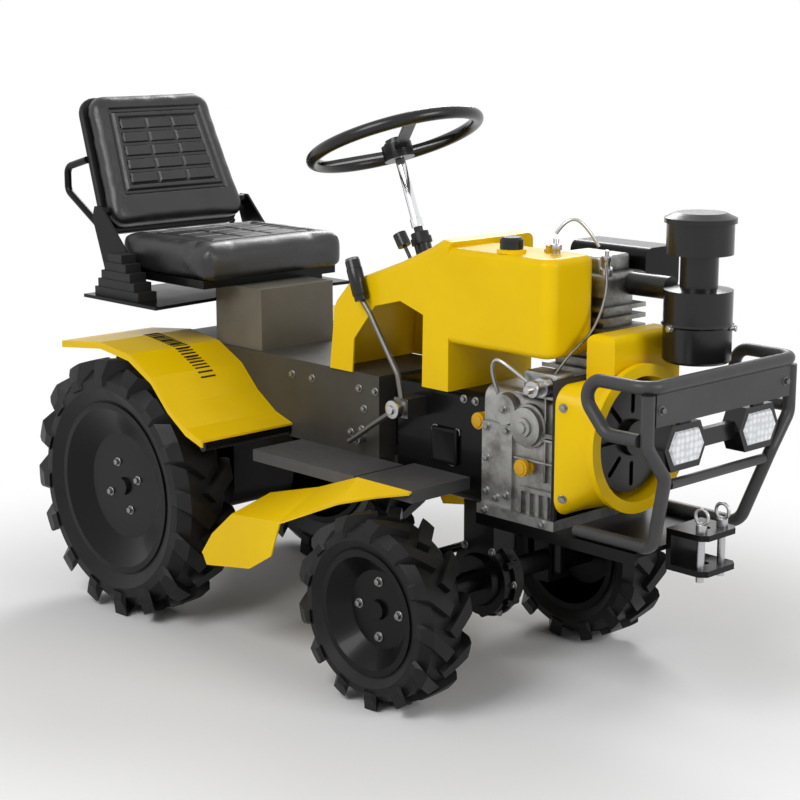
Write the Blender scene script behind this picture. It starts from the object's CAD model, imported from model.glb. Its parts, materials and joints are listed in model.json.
# %% [markdown]
# # A ride-on power tiller, dressed for its portrait
# The machine is a small farm tractor: an open air-cooled diesel in front, a yellow tank and cowl behind it,
# a black vinyl seat over the rear axle and four lugged tyres.  Its solids are already made, at real size and
# in one frame with +X forward, +Y left and +Z up.  They could be remodelled here from nothing, but then two
# models would have to agree.  Loading them as a fixed frame keeps one truth, and this lesson adds looks and
# the small fittings.

# %% Load the fixed frame
import json
import math

import bmesh
import bpy
from mathutils import Matrix, Vector


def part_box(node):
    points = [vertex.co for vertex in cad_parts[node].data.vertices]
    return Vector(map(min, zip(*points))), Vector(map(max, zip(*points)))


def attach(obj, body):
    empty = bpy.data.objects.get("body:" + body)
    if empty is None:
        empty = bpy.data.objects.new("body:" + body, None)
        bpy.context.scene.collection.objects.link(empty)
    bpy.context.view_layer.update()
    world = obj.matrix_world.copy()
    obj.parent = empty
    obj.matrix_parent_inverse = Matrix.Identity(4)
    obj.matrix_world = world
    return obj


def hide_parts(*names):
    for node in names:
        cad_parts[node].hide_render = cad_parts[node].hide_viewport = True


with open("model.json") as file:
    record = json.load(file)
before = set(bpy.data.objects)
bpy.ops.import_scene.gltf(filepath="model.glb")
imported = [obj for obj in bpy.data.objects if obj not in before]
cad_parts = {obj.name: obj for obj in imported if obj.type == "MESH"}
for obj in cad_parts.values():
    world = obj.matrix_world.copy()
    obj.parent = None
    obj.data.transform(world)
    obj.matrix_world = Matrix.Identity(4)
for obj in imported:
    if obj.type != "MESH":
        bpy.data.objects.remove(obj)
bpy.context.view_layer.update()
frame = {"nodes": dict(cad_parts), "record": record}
nodes = frame["nodes"]

# %% [markdown]
# ## Camera
# The photograph looks at the right front corner from a little above, through a long lens.  The camera could
# be turned by eye until the picture looks alike.  Here its place and lens were worked out from the wheels'
# rims and from corners that mirror each other, so every later comparison is a fair one.

# %% Place the camera
camera_place = Vector((3.0228, -2.8545, 1.4433))
camera_azimuth = 46.15
camera_elevation = 12.10
sensor_width = 36.0
focal_share = 2.3237
camera = bpy.data.objects.new("camera", bpy.data.cameras.new("camera"))
bpy.context.scene.collection.objects.link(camera)
camera.location = camera_place
camera.rotation_euler = (math.radians(90 - camera_elevation), 0, math.radians(camera_azimuth))
camera.data.sensor_width = sensor_width
camera.data.lens = sensor_width * focal_share
bpy.context.scene.camera = camera
bpy.context.scene.view_settings.view_transform = "Standard"
print("camera:", round(camera.data.lens, 2), "mm lens")

# %% [markdown]
# ## Shader maths
# A finish is a small sum: a base value plus a little noise.  Nodes could be wired one by one by hand, which
# hides that sum in a long list of links.  A thin wrapper around a socket lets the sum be written as Python,
# and each operator adds its own Math node.


# %% One wrapper for every socket
class Wire:
    """An output socket in a material, with the arithmetic that the finishes below need."""

    def __init__(self, tree, socket=None):
        self.tree = tree
        self.socket = socket

    def node(self, kind, settings=None, inputs=None, output=0):
        """Adds a node: its settings first, then the values or wires of its sockets."""
        made = self.tree.nodes.new("ShaderNode" + kind)
        for name, value in (settings or {}).items():
            setattr(made, name, value)
        for name, value in (inputs or {}).items():
            if isinstance(value, Wire):
                self.tree.links.new(value.socket, made.inputs[name])
            else:
                made.inputs[name].default_value = value
        return Wire(self.tree, made.outputs[output])

    def math(self, operation, first, second):
        return self.node("Math", {"operation": operation}, {0: first, 1: second})

    def __add__(self, other):
        return self.math("ADD", self, other)

    def __rsub__(self, other):
        return self.math("SUBTRACT", other, self)

    def __mul__(self, other):
        return self.math("MULTIPLY", self, other)

    def mix(self, dark, light):
        """Blends two colours, with this wire as the share of the second one."""
        return self.node("Mix", {"data_type": "RGBA"}, {0: self, 6: dark, 7: light}, 2)

    def ramp(self, low, high):
        """0 below the first value, 1 above the second and a smooth rise between."""
        settings = {"interpolation_type": "SMOOTHSTEP"}
        return self.node("MapRange", settings, {0: self, 1: low, 2: high})

    def vary(self, middle, spread):
        """Moves a wire that runs from 0 to 1 into a range around a middle value."""
        return self * spread + (middle - spread / 2)


# %% [markdown]
# ## One base for all finishes
# Every finish starts as Blender's Principled shader.  Each could be set up alone, but most share the same
# ingredients: the piece's own coordinates, one or two noises and a bump.  So one function starts a material,
# one makes noise, and each finish below is only what makes it different.

# %% Start a finish


def shade(red, green, blue):
    """A colour with full cover, from its three linear parts."""
    return (red, green, blue, 1.0)


def start_finish(name, base, roughness, **fixed):
    """A material with its Principled shader's constants set, and a wire that stands at Object coordinates."""
    material = bpy.data.materials.new(name)
    material.use_nodes = True
    tree = material.node_tree
    shader = tree.nodes["Principled BSDF"]
    shader.inputs["Base Color"].default_value = base
    shader.inputs["Roughness"].default_value = roughness
    for socket, value in fixed.items():
        shader.inputs[socket.replace("_", " ")].default_value = value
    place = Wire(tree).node("TexCoord", output="Object")
    return material, shader, place


def feed(wire, shader, socket):
    """Joins a wire to one of the shader's sockets."""
    wire.tree.links.new(wire.socket, shader.inputs[socket])


def noise(place, scale, detail=3.0, rough=0.55):
    """Cloudy noise between 0 and 1, with a number of waves per metre."""
    inputs = {"Vector": place, "Scale": scale, "Detail": detail, "Roughness": rough}
    return place.node("TexNoise", {}, inputs)


def bump(height, shader, distance, strength=1.0):
    """Raises the surface by a height wire, in metres."""
    inputs = {"Height": height, "Distance": distance, "Strength": strength}
    feed(height.node("Bump", {}, inputs), shader, "Normal")


print("finishes: shared base ready")

# %% [markdown]
# ## Paint
# The cowl, tank, shroud and guards wear a yellow enamel, and the wheels and castings a black one.  Paint
# could be one flat colour under a clear coat.  Real enamel has a faint orange peel that breaks up
# reflections, and it is a little thinner and duller in places, so a fine bump and a slow change of colour
# are added.  Frame parts are powder coated instead, which is duller and has an even grain.

# %% Enamel and powder coat


def enamel(name, base, pale, roughness, peel, coat, gloss):
    """Sprayed paint: slow change of colour, fine orange peel and a thin clear coat."""
    fixed = {"Coat_Weight": coat, "Coat_Roughness": 0.08, "Specular_IOR_Level": gloss}
    material, shader, place = start_finish(name, base, roughness, **fixed)
    drift = noise(place, scale=3.0).ramp(low=0.3, high=0.75)
    feed(drift.mix(base, pale), shader, "Base Color")
    haze = noise(place, scale=14.0, detail=4.0)
    feed(haze.vary(middle=roughness, spread=0.14), shader, "Roughness")
    bump(noise(place, scale=420.0, detail=2.0), shader, distance=peel)
    return material


def powder_coat(name, base, pale, roughness, grain):
    """Baked powder paint: satin, with an even fine grain."""
    material, shader, place = start_finish(name, base, roughness, Specular_IOR_Level=0.35)
    drift = noise(place, scale=6.0).ramp(low=0.3, high=0.7)
    feed(drift.mix(base, pale), shader, "Base Color")
    feed(noise(place, scale=60.0).vary(middle=roughness, spread=0.16), shader, "Roughness")
    bump(noise(place, scale=900.0, detail=2.0), shader, distance=grain)
    return material


yellow_enamel = enamel(
    "yellow_enamel",
    base=shade(0.80, 0.51, 0.001),
    pale=shade(0.88, 0.59, 0.002),
    roughness=0.34,
    peel=0.00005,
    coat=0.05,
    gloss=0.12,
)
black_enamel = enamel(
    "black_enamel",
    base=shade(0.002, 0.002, 0.0022),
    pale=shade(0.004, 0.004, 0.0043),
    roughness=0.30,
    peel=0.00008,
    coat=0.08,
    gloss=0.14,
)
charcoal_coat = powder_coat(
    "charcoal_coat",
    base=shade(0.034, 0.034, 0.036),
    pale=shade(0.050, 0.050, 0.052),
    roughness=0.40,
    grain=0.00012,
)
chassis_coat = powder_coat(
    "chassis_coat",
    base=shade(0.036, 0.033, 0.028),
    pale=shade(0.056, 0.052, 0.044),
    roughness=0.46,
    grain=0.00012,
)
pedestal_coat = powder_coat(
    "pedestal_coat",
    base=shade(0.120, 0.110, 0.088),
    pale=shade(0.150, 0.138, 0.112),
    roughness=0.46,
    grain=0.00012,
)
board_coat = powder_coat(
    "board_coat",
    base=shade(0.062, 0.060, 0.060),
    pale=shade(0.086, 0.084, 0.083),
    roughness=0.50,
    grain=0.00016,
)
print("paint: yellow, black and four dull greys")

# %% [markdown]
# ## Rubber, plastic and vinyl
# The tyres are black rubber with a dull bloom in patches, the handles and covers moulded plastic and the
# seat a grained vinyl.  Most of these are nearly black and could share one black.  Their difference lies in
# gloss and in fine relief, so each has its own: rubber is cloudy, plastic is even, and vinyl has the small
# closed cells of an embossed skin.

# %% Tyre rubber, moulded plastic and seat vinyl


def tyre_rubber():
    """Black rubber: a pale bloom in patches and a fine moulded grain."""
    base, bloom = shade(0.0045, 0.0045, 0.0045), shade(0.011, 0.011, 0.011)
    material, shader, place = start_finish("tyre_rubber", base, 0.50, Specular_IOR_Level=0.22)
    cloud = noise(place, scale=9.0, detail=4.0).ramp(low=0.35, high=0.75)
    feed(cloud.mix(base, bloom), shader, "Base Color")
    feed(cloud.vary(middle=0.48, spread=0.20), shader, "Roughness")
    bump(noise(place, scale=500.0, detail=3.0), shader, distance=0.0003)
    return material


def moulded_plastic(name, base, roughness, grain, gloss):
    """Injection-moulded plastic with a faint spark-eroded grain."""
    material, shader, place = start_finish(name, base, roughness, Specular_IOR_Level=gloss)
    feed(noise(place, scale=30.0).vary(middle=roughness, spread=0.12), shader, "Roughness")
    bump(noise(place, scale=1500.0, detail=2.0), shader, distance=grain)
    return material


def seat_vinyl():
    """Embossed vinyl: small cells with sunken lines between them."""
    base, worn = shade(0.006, 0.006, 0.0065), shade(0.013, 0.013, 0.0135)
    material, shader, place = start_finish("seat_vinyl", base, 0.32, Specular_IOR_Level=0.60)
    cell = place.node("TexVoronoi", {"feature": "DISTANCE_TO_EDGE"}, {"Vector": place, "Scale": 420.0})
    cloud = noise(place, scale=8.0).ramp(low=0.3, high=0.7)
    feed(cloud.mix(base, worn), shader, "Base Color")
    feed(cloud.vary(middle=0.32, spread=0.12), shader, "Roughness")
    bump(cell.ramp(low=0.0, high=0.22), shader, distance=0.00016, strength=0.6)
    return material


rubber = tyre_rubber()
gloss_black = moulded_plastic(
    "gloss_black", shade(0.006, 0.006, 0.0065), roughness=0.24, grain=0.00005, gloss=0.40
)
dull_black = moulded_plastic(
    "dull_black", shade(0.008, 0.008, 0.0085), roughness=0.46, grain=0.00012, gloss=0.30
)
plug_yellow = moulded_plastic(
    "plug_yellow", shade(0.62, 0.33, 0.004), roughness=0.40, grain=0.00006, gloss=0.35
)
vinyl = seat_vinyl()
print("rubber, three plastics and vinyl")

# %% [markdown]
# ## Bare metal
# The crankcase and the finned cylinder are sand-cast alloy, pale and slightly rough, while shafts, pins and
# bolts are steel.  A grey colour alone would look like paint.  Metal shows by its reflection, so these
# finishes are fully metallic, and colour, roughness and relief tell a casting from a turned pin.

# %% Castings and steel


def cast_alloy():
    """Sand-cast alloy: grainy, with darker stains in patches."""
    base, stain = shade(0.36, 0.36, 0.345), shade(0.15, 0.145, 0.135)
    material, shader, place = start_finish("cast_alloy", base, 0.46, Metallic=1.0)
    stains = noise(place, scale=14.0, detail=6.0, rough=0.65).ramp(low=0.40, high=0.72)
    feed(stains.mix(base, stain), shader, "Base Color")
    feed(noise(place, scale=45.0, detail=4.0).vary(middle=0.43, spread=0.26), shader, "Roughness")
    bump(noise(place, scale=380.0, detail=4.0), shader, distance=0.0004)
    return material


def bright_metal(name, base, roughness):
    """Turned or plated steel with a faint change of gloss."""
    material, shader, place = start_finish(name, base, roughness, Metallic=1.0)
    feed(noise(place, scale=70.0, detail=4.0).vary(middle=roughness, spread=0.14), shader, "Roughness")
    return material


alloy = cast_alloy()
steel = bright_metal("bright_steel", shade(0.46, 0.46, 0.47), roughness=0.32)
bolt_steel = bright_metal("bolt_steel", shade(0.26, 0.26, 0.255), roughness=0.40)
dark_steel = bright_metal("dark_steel", shade(0.16, 0.155, 0.145), roughness=0.42)
chrome = bright_metal("chrome_plate", shade(0.78, 0.79, 0.80), roughness=0.12)
print("castings, three steels and chrome")

# %% [markdown]
# ## Lamp lenses
# Each work lamp is a cluster of light-emitting chips behind a clear lens.  The chips could be modelled one
# by one.  Seen from a step away they are a pale field of small cells, so a cell pattern gives both the
# colour and the relief.

# %% Lens with a cell pattern


def lens_glass():
    """A pale lens with rows of small bright cells."""
    base, dark = shade(0.86, 0.88, 0.90), shade(0.62, 0.64, 0.67)
    material, shader, place = start_finish("lens_glass", base, 0.12, Coat_Weight=0.6, Coat_Roughness=0.03)
    inputs = {"Vector": place, "Scale": 75.0, "Randomness": 0.25}
    gap = place.node("TexVoronoi", {"feature": "F1"}, inputs).ramp(low=0.30, high=0.62)
    feed(gap.mix(base, dark), shader, "Base Color")
    bump(1 - gap, shader, distance=0.0008, strength=0.5)
    return material


lens = lens_glass()
print("lens ready")

# %% [markdown]
# ## Dress the solids
# Each solid already has the right shape, so most need only their finish.  The record names a material slot
# for every node, which could choose the finish alone, but a few nodes on one slot differ in life: the
# footboards are paler than the frame.  So a short table goes from slot to finish, and a second one names the
# exceptions.

# %% Give each node its finish
slot_finish = {
    "yellow_paint": yellow_enamel,
    "tyre_rubber": rubber,
    "black_paint": black_enamel,
    "charcoal_paint": charcoal_coat,
    "grey_paint": chassis_coat,
    "cast_alloy": alloy,
    "black_plastic": gloss_black,
    "seat_vinyl": vinyl,
    "lamp_glass": lens,
    "bright_steel": steel,
}
node_finish = {
    "seat_pedestal": pedestal_coat,
    "footboard_right": board_coat,
    "footboard_left": board_coat,
    "gear_lever": dark_steel,
    "intake_pipe": gloss_black,
    "seat_support_right": dull_black,
    "seat_support_left": dull_black,
}
for part in frame["record"]["subparts"]:
    name = part["node"]
    finish = node_finish.get(name, slot_finish[part["material_slot"]])
    nodes[name].material_slots[0].material = finish
print("dressed:", len(nodes), "nodes")

# %% [markdown]
# ## Modelling by hand, in code
# The next pieces are modelled as at the desk: add a primitive at its size, go into edit mode, pick faces or
# edges, and bevel, inset or extrude them.  With no mouse to pick with, faces are picked by where they lie.
# A few short helpers keep that readable: they start a piece, pick, bevel what is picked, copy and join, and
# hand a finished piece to its body.

# %% Helpers for modelling


def start_piece(kind, **size):
    """Adds a primitive by its operator, alone in the selection."""
    bpy.ops.object.select_all(action="DESELECT")
    getattr(bpy.ops.mesh, f"primitive_{kind}_add")(**size)
    return bpy.context.object


def pick(piece, kind, test):
    """In edit mode, selects the faces or edges of a piece that pass a test."""
    bpy.ops.mesh.select_mode(type={"faces": "FACE", "edges": "EDGE"}[kind])
    bpy.ops.mesh.select_all(action="DESELECT")
    shape = bmesh.from_edit_mesh(piece.data)
    for item in getattr(shape, kind):
        item.select_set(test(item))
    bmesh.update_edit_mesh(piece.data)


def edge_middle(edge):
    return (edge.verts[0].co + edge.verts[1].co) / 2


def edge_rise(edge):
    return abs(edge.verts[0].co.z - edge.verts[1].co.z)


def edge_lowest(edge):
    return min(edge.verts[0].co.z, edge.verts[1].co.z)


def round_edges(piece, test, width, segments):
    """Bevels the edges that pass a test."""
    bpy.ops.object.mode_set(mode="EDIT")
    pick(piece, "edges", test)
    bpy.ops.mesh.bevel(offset=width, segments=segments, affect="EDGES")
    bpy.ops.object.mode_set(mode="OBJECT")


def choose(piece):
    """Makes a piece the only one selected."""
    bpy.ops.object.select_all(action="DESELECT")
    piece.select_set(True)
    bpy.context.view_layer.objects.active = piece


def freeze(piece):
    """Writes a piece's place and turn into its mesh."""
    choose(piece)
    bpy.ops.object.transform_apply(location=True, rotation=True, scale=True)


def start_block(low, high):
    """A cube stretched between two corners."""
    block = start_piece("cube", size=1)
    block.dimensions = high - low
    block.location = (low + high) / 2
    freeze(block)
    return block


def copy_of(pattern):
    """A copy of a piece, with a mesh of its own."""
    copied = pattern.copy()
    copied.data = pattern.data.copy()
    bpy.context.scene.collection.objects.link(copied)
    return copied


def discard(pattern):
    """Removes a pattern that has been copied."""
    bpy.data.objects.remove(pattern, do_unlink=True)


def join_pieces(parts):
    """Makes one piece of several."""
    choose(parts[0])
    for part in parts:
        part.select_set(True)
    bpy.ops.object.join()
    return parts[0]


def stand_on(piece, place, facing):
    """Moves a piece that was made at the origin, pointing up, to a place that faces some way."""
    turn = Vector(facing).to_track_quat("Z", "Y").to_matrix().to_4x4()
    piece.matrix_world = Matrix.Translation(place) @ turn


def hand_over(piece, name, finish, body="chassis", smooth=40):
    """Names a finished piece, smooths it, gives it its finish and lets it ride on its body."""
    freeze(piece)
    piece.name = name
    bpy.ops.object.shade_smooth_by_angle(angle=math.radians(smooth))
    piece.data.materials.clear()
    piece.data.materials.append(finish)
    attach(piece, body)
    print(name, len(piece.data.polygons), "faces")
    return piece


# %% [markdown]
# ## Seat pads
# The cushion and the backrest are foam pads in one embossed vinyl skin, so they bulge softly and have no
# sharp edge.  Such a pad could be a bevelled block.  A skin under pressure swells more in the middle than at
# its corners, so here a block is remeshed and blown up as cloth for a moment, its result is kept, and its
# creases are smoothed.  The embossed panel with its tiles comes last, because the remesh would wipe out
# anything that fine.

# %% Blow up a pad
pad_voxel = 0.006
pad_pressure = 4.0
pad_swell = 0.007
cloth_steps = 20


def stuff(pad):
    """Remeshes a pad, swells it by cloth pressure and keeps each point within a distance of its start."""
    freeze(pad)
    remesh = pad.modifiers.new("remesh", "REMESH")
    remesh.mode = "VOXEL"
    remesh.voxel_size = pad_voxel
    bpy.ops.object.modifier_apply(modifier="remesh")
    before = [point.co.copy() for point in pad.data.vertices]
    cloth = pad.modifiers.new("cloth", "CLOTH")
    cloth.settings.quality = 3
    cloth.collision_settings.use_collision = False
    cloth.settings.use_pressure = True
    cloth.settings.uniform_pressure_force = pad_pressure
    cloth.settings.effector_weights.gravity = 0
    for step in range(1, cloth_steps + 1):
        bpy.context.scene.frame_set(step)
    bpy.ops.object.modifier_apply(modifier="cloth")
    bpy.context.scene.frame_set(1)
    for point, start in zip(pad.data.vertices, before):
        move = point.co - start
        if move.length > pad_swell:
            point.co = start + move * (pad_swell / move.length)
    calm = pad.modifiers.new("calm", "SMOOTH")
    calm.factor = 0.5
    calm.iterations = 12
    bpy.ops.object.modifier_apply(modifier="calm")
    finer = pad.modifiers.new("finer", "SUBSURF")
    finer.levels = finer.render_levels = 1
    bpy.ops.object.modifier_apply(modifier="finer")


# %% Emboss a panel
seam_depth = 0.007
field_depth = 0.006
tile_height = 0.0055
tile_inset = 0.024
fine_border = 0.008


def step_up(value, start, end):
    """A smooth rise from 0 at one value to 1 at another."""
    share = min(max((value - start) / (end - start), 0.0), 1.0)
    return share * share * (3 - 2 * share)


def panel_relief(inside, to_tile_edge):
    """The height of a panel, from how far inside its outline and its tile's outline a point lies."""
    seam = step_up(inside, -0.004, 0.004) - step_up(inside, 0.008, 0.015)
    field = step_up(inside, 0.020, 0.027)
    tile = step_up(to_tile_edge, 0.0028, 0.0068)
    return tile_height * tile - seam_depth * seam - field_depth * field


def emboss(pad, plane, outline_half, length, margin, tiles):
    """Presses a panel of raised tiles into the front of a pad, measured in the plane of its face."""
    columns, rows = tiles
    to_plane = plane.inverted()
    up = plane.to_3x3() @ Vector((0, 0, 1))
    low, high = margin, length - margin
    field_length = high - low - 2 * tile_inset

    def in_front(item):
        return item.normal.dot(up) > 0.5

    def near_panel(face):
        place = to_plane @ face.calc_center_median()
        half = outline_half(place.y) - margin + fine_border
        return low - fine_border < place.y < high + fine_border and abs(place.x) < half

    bpy.ops.object.mode_set(mode="EDIT")
    pick(pad, "faces", lambda face: in_front(face) and near_panel(face))
    bpy.ops.mesh.subdivide(number_cuts=1)
    bpy.ops.object.mode_set(mode="OBJECT")
    # A moved point makes Blender work out all normals again, so the front is listed before any point moves.
    front = [point.index for point in pad.data.vertices if in_front(point)]
    for index in front:
        point = pad.data.vertices[index]
        place = to_plane @ point.co
        half = outline_half(place.y) - margin
        inside = min(half - abs(place.x), place.y - low, high - place.y)
        field_half = half - tile_inset
        column = (place.x / field_half + 1) / 2 * columns
        row = (place.y - low - tile_inset) / field_length * rows
        to_tile_edge = 0.0
        if 0 < column < columns and 0 < row < rows:
            to_tile_edge = min(
                abs(column - round(column)) * 2 * field_half / columns,
                abs(row - round(row)) * field_length / rows,
            )
        point.co += up * panel_relief(inside, to_tile_edge)


print("pads: recipe ready")

# %% [markdown]
# ## Backrest
# The backrest leans back behind the driver.  It is wider at its foot than at its top and has well-rounded
# corners.  One cube is enough to start from: its top is drawn in, its corners are bevelled, and it is then
# leaned back to its place.  Behind the pad sits a thin pressed shell, which shows as a second lip along the
# edge.

# %% Model the backrest
back_length = 0.346
back_run = 0.136
back_foot = Vector((-0.730, 0, 0.905))
back_thickness = 0.062
shell_thickness = 0.014
foot_half, top_half = 0.210, 0.182
pad_sink = 0.004
pad_slack = 0.010
panel_rise = 0.034
# The pad's own frame: x across, y up along the pad and z out of its face.
across_up_out = Matrix(((0, 0, 1, 0), (1, 0, 0, 0), (0, 1, 0, 0), (0, 0, 0, 1)))
back_lean = Matrix.Rotation(-math.asin(back_run / back_length), 4, "Y")
back_plane = Matrix.Translation(back_foot) @ back_lean @ across_up_out


def back_half(height):
    return foot_half + (top_half - foot_half) * height / back_length


def panel_half(along):
    return back_half(along + panel_rise)


def back_slab(face, thickness, grow, corner, edge):
    """A tapered slab in the backrest's frame: its face's height, its thickness and its growth all round."""
    slab = start_piece("cube", size=1)
    slab.dimensions = ((foot_half + grow) * 2, back_length + grow * 2, thickness)
    slab.location = (0, back_length / 2, face - thickness / 2)
    freeze(slab)
    bpy.ops.object.mode_set(mode="EDIT")
    pick(slab, "faces", lambda item: item.normal.y > 0.9)
    taper = (top_half + grow) / (foot_half + grow)
    bpy.ops.transform.resize(value=(taper, 1, 1))
    bpy.ops.object.mode_set(mode="OBJECT")
    round_edges(slab, lambda item: edge_rise(item) > thickness / 2, corner, 6)
    round_edges(slab, lambda item: edge_lowest(item) > face - thickness / 4, edge, 4)
    slab.matrix_world = back_plane
    return slab


pad_thickness = back_thickness - shell_thickness - pad_slack
backrest = back_slab(-pad_sink, pad_thickness, grow=0.001, corner=0.040, edge=0.015)
stuff(backrest)
panel_plane = back_plane @ Matrix.Translation((0, panel_rise, 0))
emboss(backrest, panel_plane, panel_half, back_length - panel_rise, margin=0.044, tiles=(3, 5))
hand_over(backrest, "backrest_pad", vinyl, smooth=60)
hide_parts("seat_backrest")

shell_face = shell_thickness - back_thickness
back_shell = back_slab(shell_face, shell_thickness - 0.001, grow=0.004, corner=0.044, edge=0.005)
hand_over(back_shell, "backrest_shell", dull_black)

# %% [markdown]
# ## Cushion
# The cushion has a rolled front edge, a raised border and the same kind of tiled panel in the middle.  It
# could be pressed from the same slab as the backrest, but its front edge is rounder than the others, so it
# gets its own block.  It lies flat on its pan, so every point that went below the pan is put back on it.

# %% Model the cushion
cushion_low, cushion_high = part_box("seat_cushion")
cushion_length = cushion_high[0] - cushion_low[0]
cushion_half = cushion_high[1]
cushion_slack = 0.007
cushion_sink = 0.012
corner_round, front_round, edge_round = 0.030, 0.030, 0.014
front_zone, rear_zone = cushion_high[0] - 0.05, cushion_high[0] - 0.08
top_zone = cushion_high[2] - 0.03
upright_least = 0.04
quarter_turn = Matrix.Rotation(math.radians(-90), 4, "Z")
cushion_plane = Matrix.Translation((cushion_low[0], 0, cushion_high[2])) @ quarter_turn


def on_top(edge):
    return edge_lowest(edge) > top_zone


slack = Vector((cushion_slack, cushion_slack, 0))
cushion = start_block(cushion_low + slack, cushion_high - slack - Vector((0, 0, cushion_sink)))
round_edges(cushion, lambda item: edge_rise(item) > upright_least, corner_round, 5)
round_edges(cushion, lambda item: on_top(item) and edge_middle(item).x > front_zone, front_round, 6)
round_edges(cushion, lambda item: on_top(item) and edge_middle(item).x < rear_zone, edge_round, 3)
stuff(cushion)
emboss(cushion, cushion_plane, lambda along: cushion_half, cushion_length, margin=0.064, tiles=(3, 3))
for point in cushion.data.vertices:
    point.co.z = max(point.co.z, cushion_low[2])
hand_over(cushion, "cushion_pad", vinyl, smooth=60)
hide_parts("seat_cushion")

# %% [markdown]
# ## Bolts
# Hex bolts hold the wheels and the covers, each on a round washer.  A bump in the material would be quicker,
# but it gives no outline and no shadow.  One bolt is modelled, and copies of it are set where a straight
# line from outside meets the solid, so that each head sits on its surface and faces away from it.

# %% Model one bolt and set copies of it
rear_axle = 540
washer_share = 0.14
head_corner_share, washer_radius_share = 0.577, 0.85
chamfer_share = 0.09
to_left, to_right, downward, backward = (0, 1, 0), (0, -1, 0), (0, 0, -1), (-1, 0, 0)
upward = (0, 0, 1)


def station(along, across, up):
    """A place in metres, from millimetres ahead of the rear axle, to the left and up."""
    return Vector(((along - rear_axle) / 1000, across / 1000, up / 1000))


def hex_bolt(across, height):
    """One bolt head with chamfered corners on its washer, at the origin and pointing up."""
    washer_height = across * washer_share
    head = start_piece("cylinder", vertices=6, radius=across * head_corner_share, depth=height)
    head.location.z = washer_height + height / 2
    freeze(head)
    top = washer_height + height * 0.9
    round_edges(head, lambda item: edge_middle(item).z > top, across * chamfer_share, 2)
    washer = start_piece("cylinder", vertices=20, radius=across * washer_radius_share, depth=washer_height)
    washer.location.z = washer_height / 2
    freeze(washer)
    washer_top = washer_height * 0.9
    round_edges(washer, lambda item: edge_middle(item).z > washer_top, washer_height * 0.4, 1)
    return join_pieces([head, washer])


def on_surface(node, start, toward):
    """Where a straight line from a start first meets a node, and which way the surface faces there."""
    hit, place, facing, _ = nodes[node].ray_cast(Vector(start), Vector(toward))
    if not hit:
        raise ValueError(f"nothing of {node} at {start}")
    return place, facing


def set_copies(name, pattern, spots, finish, body="chassis"):
    """Sets a copy of a pattern on each spot and joins the copies into one piece."""
    copies = []
    for place, facing in spots:
        copied = copy_of(pattern)
        stand_on(copied, place, facing)
        freeze(copied)
        copies.append(copied)
    return hand_over(join_pieces(copies), name, finish, body, smooth=30)


# %% [markdown]
# ## Wheel bolts
# Four bolts hold each wheel to its hub, on one circle.  They could be placed one by one, but a circle is a
# loop over quarter turns.  Only the turn of the first bolt differs from wheel to wheel.  They ride on their
# wheel, so they go round with it.

# %% Bolt the wheels
wheel_middles = {
    "rear_right": station(0, -320, 310),
    "rear_left": station(0, 320, 310),
    "front_right": station(870, -316, 206),
    "front_left": station(870, 316, 206),
}
first_bolt_turns = {"rear_right": 113, "rear_left": 67, "front_right": 90, "front_left": 90}
bolt_circle = 0.060
clear_of_wheel = 0.300
wheel_bolt = hex_bolt(across=0.013, height=0.007)
for wheel, middle in wheel_middles.items():
    outward = Vector((0, math.copysign(1, middle.y), 0))
    spots = []
    for quarter in range(4):
        turn = math.radians(first_bolt_turns[wheel] + quarter * 90)
        spoke = Vector((math.cos(turn), 0, math.sin(turn))) * bolt_circle
        spots.append(on_surface(f"wheel_{wheel}", middle + spoke + outward * clear_of_wheel, -outward))
    set_copies(f"wheel_bolts_{wheel}", wheel_bolt, spots, bolt_steel, f"{wheel}_wheel")
discard(wheel_bolt)

# %% [markdown]
# ## Frame and cover bolts
# Smaller bolts hold the side plates, the covers, the shroud, the front drive case and the bumper plate.  The
# places on the right side are listed by hand from the photograph, and the left side mirrors them.  The drive
# case has its six on a circle.

# %% Bolt the frame and the covers
side_bolts = {
    "chassis_frame": [(588, 604), (604, 560), (596, 512), (640, 604), (560, 500), (360, 604), (430, 604)],
    "gearbox_case": [(886, 622), (920, 622), (800, 545), (866, 545), (852, 478), (952, 478), (952, 520)],
    "crankcase": [
        (992, 586), (992, 520), (992, 450), (1048, 586), (1048, 450), (1020, 440),
        (1184, 640), (1184, 560), (1184, 470), (1046, 632), (1000, 414), (1160, 414),
    ],
    "engine_shroud": [(1206, 660), (1206, 474)],
}
outside = 500
case_along, case_up, case_bolt_circle, beside_case = 870, 206, 82, 150
plate_bolt_across, plate_bolt_up, ahead = 196, 708, 1600
small_bolt = hex_bolt(across=0.011, height=0.006)
spots = []
for node, places in side_bolts.items():
    for along, up in places:
        spots.append(on_surface(node, station(along, -outside, up), to_left))
        spots.append(on_surface(node, station(along, outside, up), to_right))
set_copies("frame_bolts", small_bolt, spots, bolt_steel)

spots = []
for sixth in range(6):
    turn = math.radians(sixth * 60)
    along = case_along + case_bolt_circle * math.cos(turn)
    up = case_up + case_bolt_circle * math.sin(turn)
    spots.append(on_surface("front_axle", station(along, -beside_case, up), to_left))
set_copies("drive_case_bolts", small_bolt, spots, bolt_steel)

spots = []
for side in (-1, 1):
    start = station(ahead, side * plate_bolt_across, plate_bolt_up)
    spots.append(on_surface("bumper_plate", start, backward))
set_copies("bumper_plate_bolts", small_bolt, spots, dark_steel)
discard(small_bolt)

# %% [markdown]
# ## Engine fittings
# A fuel pump, oil plugs, a governor cover and a rocker cover make a bare crankcase look like an engine.
# They could be plain cylinders and boxes.  The real ones are turnings and castings, so a cylinder is
# extruded and resized step by step, as on a lathe, and a block gets a sunk panel and rounded edges.

# %% Turned pieces and castings
rim_round = 0.0009
top_slack = 1e-5
level_slack = 1e-6
foot_slack = 1e-4


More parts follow.
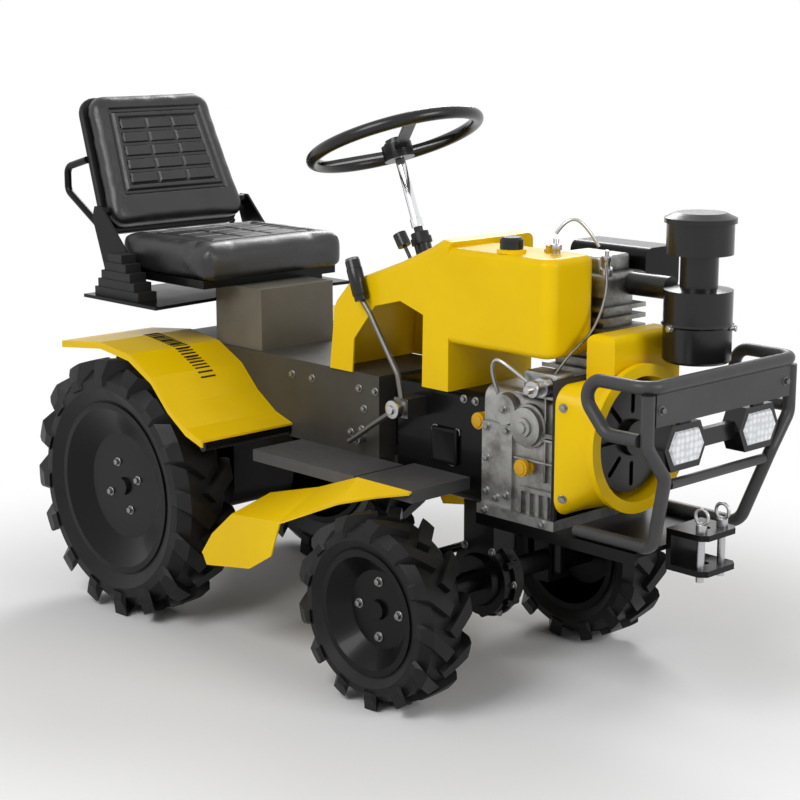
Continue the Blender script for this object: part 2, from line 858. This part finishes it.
def is_rim(edge):
    """Whether an edge is a sharp level rim above the foot of a turned piece."""
    if edge_rise(edge) > level_slack or edge_middle(edge).z < foot_slack or len(edge.link_faces) != 2:
        return False
    return edge.calc_face_angle(0) > 1


def pick_top(piece, reach):
    """Selects the face at the far end of a turned piece."""

    def at_end(face):
        return face.normal.z > 0.9 and face.calc_center_median().z > reach - top_slack

    pick(piece, "faces", at_end)


def turned(name, steps, place, facing, finish, body="chassis", sides=28):
    """A turned piece: a cylinder that is extruded and resized step by step, as (radius, length) pairs."""
    radius, reach = steps[0]
    piece = start_piece("cylinder", vertices=sides, radius=radius, depth=reach)
    piece.location.z = reach / 2
    freeze(piece)
    bpy.ops.object.mode_set(mode="EDIT")
    for next_radius, length in steps[1:]:
        pick_top(piece, reach)
        bpy.ops.mesh.extrude_region_move()
        share = next_radius / radius
        bpy.ops.transform.resize(value=(share, share, 1))
        bpy.ops.mesh.extrude_region_move(TRANSFORM_OT_translate={"value": (0, 0, length)})
        radius = next_radius
        reach += length
    bpy.ops.object.mode_set(mode="OBJECT")
    round_edges(piece, is_rim, rim_round, 2)
    stand_on(piece, place, facing)
    return hand_over(piece, name, finish, body, smooth=30)


def casting(name, low, high, finish, rounding):
    """A block between two corners with rounded edges and a sunk panel on its right side."""
    piece = start_block(low, high)
    bpy.ops.object.mode_set(mode="EDIT")
    pick(piece, "faces", lambda item: item.normal.y < -0.9)
    bpy.ops.mesh.inset(thickness=rounding * 2)
    bpy.ops.transform.translate(value=(0, rounding * 0.6, 0))
    bpy.ops.object.mode_set(mode="OBJECT")
    round_edges(piece, lambda item: item.is_manifold and item.calc_face_angle(0) > 1.2, rounding, 3)
    return hand_over(piece, name, finish, smooth=35)


plug_steps = [(0.017, 0.006), (0.011, 0.006), (0.018, 0.012), (0.013, 0.003)]
plug_places = {"crankcase": ("crankcase", 1100, 520), "gearbox": ("gearbox_case", 948, 588)}
for name, (node, along, up) in plug_places.items():
    place, _ = on_surface(node, station(along, -outside, up), to_left)
    turned(f"{name}_oil_plug", plug_steps, place, to_right, plug_yellow, sides=14)

cover_low, cover_high = station(796, -105, 474), station(872, -94, 552)
casting("gearbox_side_cover", cover_low, cover_high, black_enamel, rounding=0.004)
pump_low, pump_high = station(1076, -122, 660), station(1164, -62, 716)
casting("fuel_pump_body", pump_low, pump_high, alloy, rounding=0.007)
barrel_steps = [(0.020, 0.018), (0.014, 0.014), (0.017, 0.012), (0.008, 0.016)]
turned("fuel_pump_barrel", barrel_steps, station(1140, -122, 690), to_right, steel)
governor_steps = [(0.046, 0.010), (0.040, 0.012), (0.020, 0.008), (0.012, 0.006)]
turned("governor_cover", governor_steps, station(1108, -128, 606), to_right, alloy)

# %% [markdown]
# ## Cylinder head fittings
# The rocker cover is a cast lid on the head, and the injector stands in front of it, leaning outwards.  Their
# places could be typed in, but they belong to the cylinder, so they are measured from its box.

# %% Rocker cover and injector
head_low, head_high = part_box("cylinder")
cover_sink = 0.002
cover_height = 0.034
cover_side = 0.016
cover_rear, cover_front = 0.020, 0.030
cover_low = Vector((head_low[0] + cover_rear, head_low[1] + cover_side, head_high[2] - cover_sink))
cover_high = Vector((head_high[0] - cover_front, head_high[1] - cover_side, head_high[2] + cover_height))
casting("rocker_cover", cover_low, cover_high, alloy, rounding=0.008)
injector_steps = [(0.013, 0.016), (0.009, 0.020), (0.011, 0.008), (0.005, 0.010)]
injector_place = Vector((head_high[0] - 0.016, head_low[1] + 0.020, head_high[2] - cover_sink))
injector_lean = (0.2, -0.2, 1)
turned("injector", injector_steps, injector_place, injector_lean, steel)

# %% [markdown]
# ## Ribs and gasket
# Thin ribs stiffen the crankcase between its cover and its flange, and a black gasket seals the flange
# against the shroud.  Ribs could be a bump, but they catch light along their edges, so one rounded bar is
# modelled and copied downwards, with one upright web across them.

# %% Crankcase ribs and gasket
bar_round = 0.002
rib_drops = (0, 0.088, 0.136)


def rounded_bar(low, high, rounding):
    """A bar between two corners with all its edges rounded."""
    bar = start_block(low, high)
    round_edges(bar, lambda item: True, rounding, 2)
    return bar


rib = rounded_bar(station(1068, -138, 668), station(1184, -120, 674), bar_round)
web = rounded_bar(station(1148, -136, 494), station(1153, -120, 672), bar_round)
ribs = [web]
for drop in rib_drops:
    copied = copy_of(rib)
    copied.location.z = -drop
    freeze(copied)
    ribs.append(copied)
discard(rib)
hand_over(join_pieces(ribs), "crankcase_ribs", alloy, smooth=35)
gasket = rounded_bar(station(1180, -148, 424), station(1190, 148, 712), bar_round)
hand_over(gasket, "shroud_gasket", dull_black)

# %% [markdown]
# ## Pipes and rods
# Steel pipes carry fuel to the pump and on to the injector, and a bent rod links the gear lever to the
# gearbox.  They could be swept from cylinders joined at angles, which show a kink at each joint.  A smooth
# curve with a round section bends evenly, and as they are rigid it is made into a mesh.

# %% Bend the pipes and the shift rod


def pipe(name, points, radius, finish):
    """A round pipe along a smooth curve that is led by its points, made into a mesh."""
    route = bpy.data.curves.new(name, "CURVE")
    route.dimensions = "3D"
    route.bevel_depth = radius
    route.bevel_resolution = 3
    route.use_fill_caps = True
    route.resolution_u = 10
    spline = route.splines.new("NURBS")
    spline.points.add(len(points) - 1)
    for control, point in zip(spline.points, points):
        control.co = (*station(*point), 1)
    spline.use_endpoint_u = True
    spline.order_u = 3
    piece = bpy.data.objects.new(name, route)
    bpy.context.scene.collection.objects.link(piece)
    choose(piece)
    bpy.ops.object.convert(target="MESH")
    return hand_over(piece, name, finish, smooth=50)


feed_route = [(1010, -120, 652), (1004, -140, 700), (1024, -150, 738), (1060, -146, 724), (1092, -126, 694)]
pipe("fuel_feed_pipe", feed_route, 0.0042, steel)
injection_route = [(1148, -112, 706), (1170, -96, 752), (1182, -20, 800), (1178, 24, 900), (1152, 32, 936)]
pipe("injection_pipe", injection_route, 0.0030, dark_steel)
shift_route = [(742, -150, 588), (680, -158, 548), (618, -160, 505), (596, -160, 492)]
pipe("shift_rod", shift_route, 0.0065, dark_steel)
ball_steps = [(0.009, 0.010), (0.012, 0.012), (0.008, 0.006)]
turned("shift_rod_ball", ball_steps, station(600, -122, 494), to_right, steel)
pivot_steps = [(0.016, 0.010), (0.020, 0.018), (0.010, 0.008)]
turned("lever_pivot", pivot_steps, station(752, -152, 590), to_right, steel)

# %% [markdown]
# ## Steering and lever fittings
# A cap covers the steering hub, a plated sleeve the shaft below it and a collar the column's end, and the
# gear lever has a black grip.  Each is turned like the engine's fittings.  Cap and sleeve ride on the
# steering body, so that they turn with the wheel.

# %% Fit the steering and the lever
steering_lean = Vector((-0.080, 0, 0.203)).normalized()
hub = station(575, 0, 1144)
cap_drop, sleeve_drop, collar_drop = 0.010, 0.200, 0.020
cap_steps = [(0.026, 0.006), (0.022, 0.006), (0.012, 0.003)]
cap_place = hub - steering_lean * cap_drop
turned("steering_hub_cap", cap_steps, cap_place, steering_lean, gloss_black, "steering")
sleeve_steps = [(0.0135, 0.020), (0.0108, 0.135)]
sleeve_place = hub - steering_lean * sleeve_drop
turned("steering_shaft_sleeve", sleeve_steps, sleeve_place, steering_lean, chrome, "steering")
collar_steps = [(0.0235, 0.014), (0.020, 0.012)]
collar_place = station(655, 0, 941) - steering_lean * collar_drop
turned("steering_collar", collar_steps, collar_place, steering_lean, dull_black)
grip_steps = [(0.0155, 0.012), (0.0175, 0.060), (0.0165, 0.018), (0.012, 0.006)]
grip_lean = (-32, 0, 88)
turned("gear_lever_grip", grip_steps, station(624, -146, 808), grip_lean, gloss_black)

# %% [markdown]
# ## Air cleaner clips
# Three clips hold the air cleaner's bowl.  They could be bent from wire.  At this size a small turned stud
# with a waist gives the same glint, and a line from outside finds the bowl's wall.

# %% Clip the air cleaner
clip_turns = (-100, 20, 140)
clip_up = 0.812
clip_sink = 0.001
clear_of_bowl = 0.3
clip_steps = [(0.007, 0.004), (0.005, 0.005), (0.007, 0.003)]
cleaner_low, cleaner_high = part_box("air_cleaner")
cleaner_middle = (cleaner_low + cleaner_high) / 2
for number, turn in enumerate(clip_turns, start=1):
    out = Vector((math.cos(math.radians(turn)), math.sin(math.radians(turn)), 0))
    start = Vector((cleaner_middle[0], cleaner_middle[1], clip_up)) + out * clear_of_bowl
    place, _ = on_surface("air_cleaner", start, -out)
    clip_place = place - out * clip_sink
    turned(f"air_cleaner_clip_{number}", clip_steps, clip_place, out, steel, sides=12)

# %% [markdown]
# ## Fender vents
# A row of dark slats follows each fender's curve over its slots.  They could be painted on.  As thin rounded
# bars they also catch an edge of light.  Each stands on the fender's skin, whose height is taken beside the
# slots, where there is metal.

# %% Lay the vent slats
slat_count = 22
slat_first, slat_last = -28, 192
slat_across, beside_slots, above = 236, 205, 1500
slat_low, slat_high = Vector((-0.021, -0.0022, -0.001)), Vector((0.021, 0.0022, 0.0014))
slat_pitch = (slat_last - slat_first) / (slat_count - 1)
slat = rounded_bar(slat_low, slat_high, 0.0007)
for side, hand in ((-1, "right"), (1, "left")):
    spots = []
    for number in range(slat_count):
        start = station(slat_first + slat_pitch * number, side * beside_slots, above)
        place, facing = on_surface(f"rear_fender_{hand}", start, downward)
        place.y = side * slat_across / 1000
        spots.append((place, facing))
    set_copies(f"fender_vent_{hand}", slat, spots, dull_black)
discard(slat)

# %% [markdown]
# ## Tank fittings
# A return fitting and a small breather cap stand on the tank beside its filler, and a pipe loops from the
# fitting over to the cylinder head.  They are turned and bent like the pieces above, and a line from above
# finds the tank's top.

# %% Fit the tank
above_tank = 1300
fitting_steps = [(0.009, 0.008), (0.012, 0.012), (0.006, 0.012)]
place, _ = on_surface("fuel_tank", station(1088, -40, above_tank), downward)
turned("fuel_return_fitting", fitting_steps, place, upward, steel, sides=12)
breather_steps = [(0.010, 0.006), (0.007, 0.008)]
place, _ = on_surface("fuel_tank", station(1060, -30, above_tank), downward)
turned("breather_cap", breather_steps, place, upward, plug_yellow, sides=12)
return_route = [(1088, -40, 986), (1104, -30, 1016), (1130, -6, 1014), (1150, 20, 960)]
pipe("fuel_return_pipe", return_route, 0.0035, steel)

# %% [markdown]
# ## Floor
# The machine stands on a plain pale floor.  A white room could be built around it, but a floor that fades to
# white with distance gives the same clean picture and keeps the shadow under the wheels.

# %% Make the floor


def see_through(start):
    """1 for what the camera sees, straight or through gloss and glass, and 0 for light on the machine."""
    paths = ("Is Camera Ray", "Is Glossy Ray", "Is Transmission Ray")
    straight, mirrored, through = [start.node("LightPath", output=path) for path in paths]
    return straight.math("MAXIMUM", straight.math("MAXIMUM", straight, mirrored), through)


def studio_floor(reach, near, far):
    """A pale plane that takes the shadow near the machine and fades to white further out."""
    floor = start_piece("plane", size=reach)
    floor.name = "floor"
    material = bpy.data.materials.new("pale_floor")
    material.use_nodes = True
    tree = material.node_tree
    tree.nodes.clear()
    start = Wire(tree)
    place = start.node("TexCoord", output="Object")
    distance = place.node("VectorMath", {"operation": "LENGTH"}, {0: place}, "Value")
    seen = see_through(start)
    matt = start.node("BsdfDiffuse", {}, {"Color": shade(0.86, 0.86, 0.86)})
    white = start.node("Emission", {}, {"Color": shade(1, 1, 1), "Strength": 1.0})
    both = start.node("MixShader", {}, {0: distance.ramp(near, far) * seen, 1: matt, 2: white})
    out = tree.nodes.new("ShaderNodeOutputMaterial")
    tree.links.new(both.socket, out.inputs["Surface"])
    floor.data.materials.append(material)
    return floor


floor = studio_floor(reach=40.0, near=0.8, far=1.75)
print("floor:", floor.name)

# %% [markdown]
# ## Light
# Soft light from all round keeps the black parts readable.  One strong lamp could light it all, but gives
# hard shadows.  Three large square lamps are used instead: one from the right, one from the front and one
# from behind, which draws a bright edge.

# %% Light the studio


def soft_lamp(name, place, target, size, watts):
    """A square lamp that points at a target."""
    lamp = bpy.data.objects.new(name, bpy.data.lights.new(name, "AREA"))
    bpy.context.scene.collection.objects.link(lamp)
    lamp.location = place
    lamp.rotation_euler = (Vector(target) - Vector(place)).to_track_quat("-Z", "Y").to_euler()
    lamp.data.size = size
    lamp.data.energy = watts
    return lamp


def studio_world(strength):
    """Even light from all round, seen as white by the camera and in reflections."""
    world = bpy.data.worlds.new("studio")
    bpy.context.scene.world = world
    world.use_nodes = True
    tree = world.node_tree
    tree.nodes.clear()
    start = Wire(tree)
    glow = see_through(start) * (1 - strength) + strength
    light = start.node("Background", {}, {"Color": shade(1, 1, 1), "Strength": glow})
    out = tree.nodes.new("ShaderNodeOutputWorld")
    tree.links.new(light.socket, out.inputs["Surface"])


studio_world(strength=0.34)
machine_middle = (0.15, 0, 0.6)
soft_lamp("key_lamp", (0.6, -4.2, 4.0), machine_middle, size=2.6, watts=150)
soft_lamp("front_lamp", (5.2, 0.6, 2.6), machine_middle, size=2.0, watts=90)
soft_lamp("rim_lamp", (-2.5, 3.5, 3.6), machine_middle, size=2.0, watts=120)
print("light: even sky and three soft lamps")
